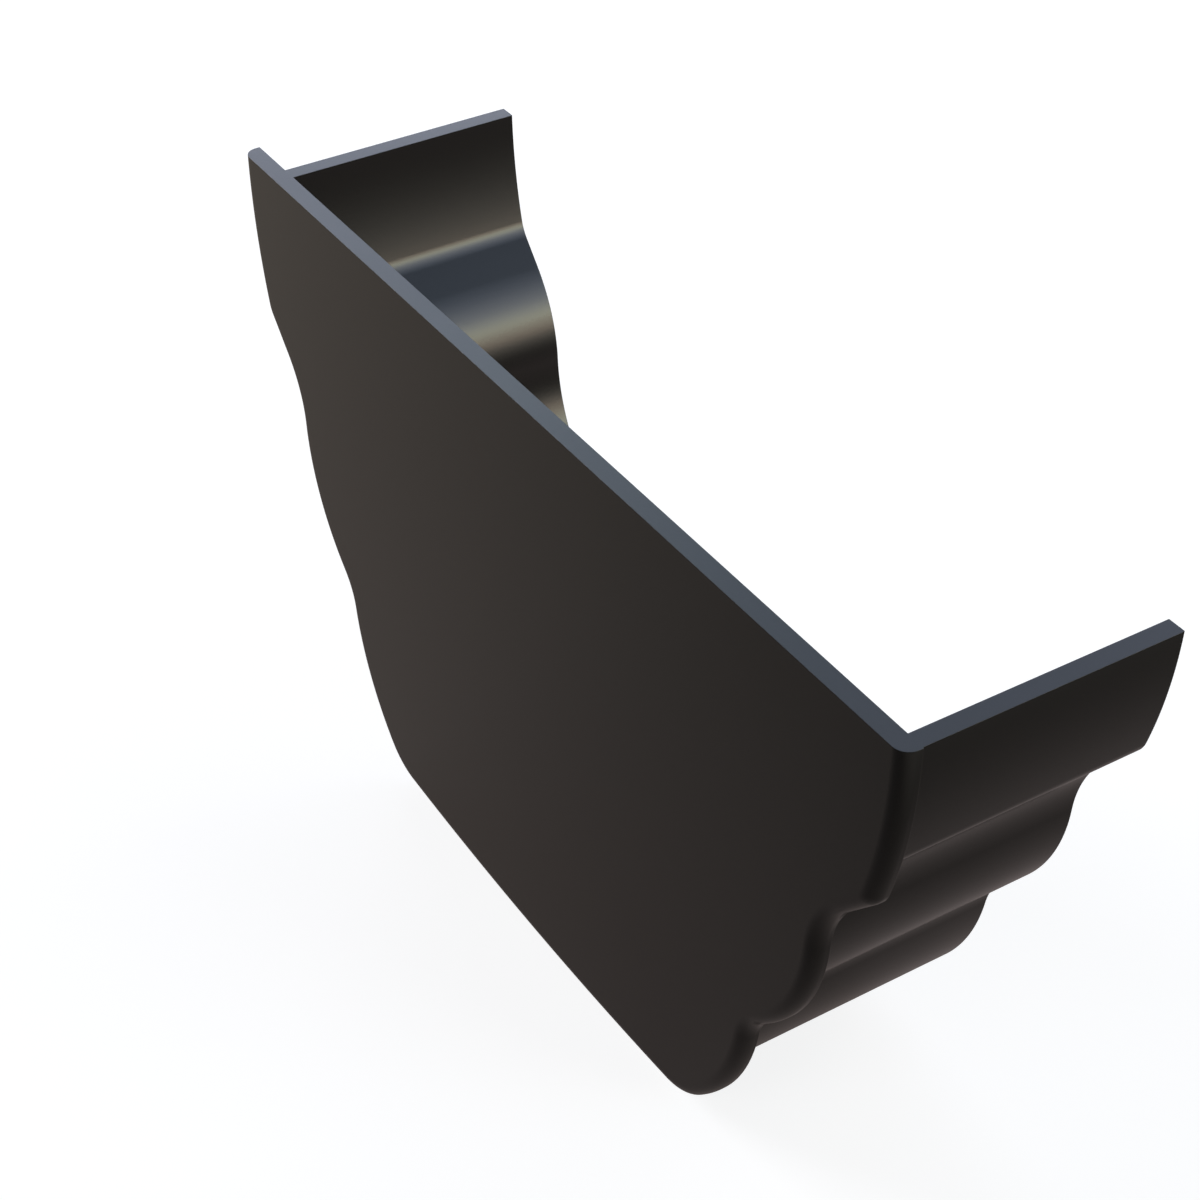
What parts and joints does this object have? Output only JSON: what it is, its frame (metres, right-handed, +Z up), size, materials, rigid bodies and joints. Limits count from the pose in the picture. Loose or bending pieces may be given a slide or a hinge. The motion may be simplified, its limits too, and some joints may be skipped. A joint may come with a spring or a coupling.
{
  "type": "gutter stop end",
  "caption": "Moulded plastic stop end that closes the end of a gutter with a double-sided cornice profile.",
  "frame": {"origin": "bottom centre of the part's box: on the floor under the middle of the end plate's width, halfway along its depth", "axes": "+Z up as fitted, +Y along the gutter from the end plate towards the socket's open end, +X towards the side where the lip is narrow"},
  "size_m": [0.1692, 0.0422, 0.1],
  "materials": {
    "body": "semi-gloss moulded, anthracite black"
  },
  "bodies": {
    "root": {"stop_end": "body"}
  },
  "joints": []
}
